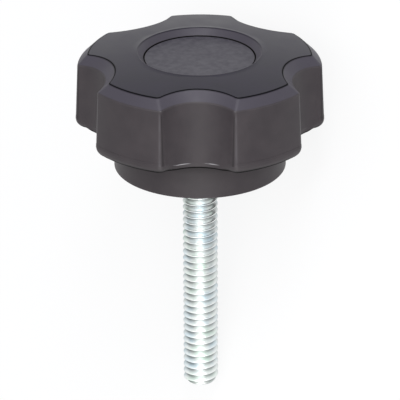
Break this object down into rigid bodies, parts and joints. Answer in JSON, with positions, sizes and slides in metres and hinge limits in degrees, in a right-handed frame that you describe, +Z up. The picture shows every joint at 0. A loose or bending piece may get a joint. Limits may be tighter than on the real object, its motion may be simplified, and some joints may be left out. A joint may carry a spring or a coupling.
{
  "type": "five-arm knob",
  "caption": "Five-arm hand knob with a dished crown, a round hub and a threaded steel stud, lying loose on its arms and the tip of its stud.",
  "frame": {"origin": "on the ground under the middle of the knob's box, as it lies loose", "axes": "+Z up; +X from the stud's tip towards the crown, so the knob's own axis lies in the XZ plane and rises towards +X; +Y completes the frame"},
  "size_m": [0.0678, 0.0446, 0.0441],
  "materials": {
    "moulded_plastic": "satin moulded black plastic with a fine grain",
    "zinc_plated_steel": "bright zinc plate with a faint green and blue tint"
  },
  "bodies": {
    "root": {"knob_body": "moulded_plastic", "threaded_stud": "zinc_plated_steel"}
  },
  "joints": []
}
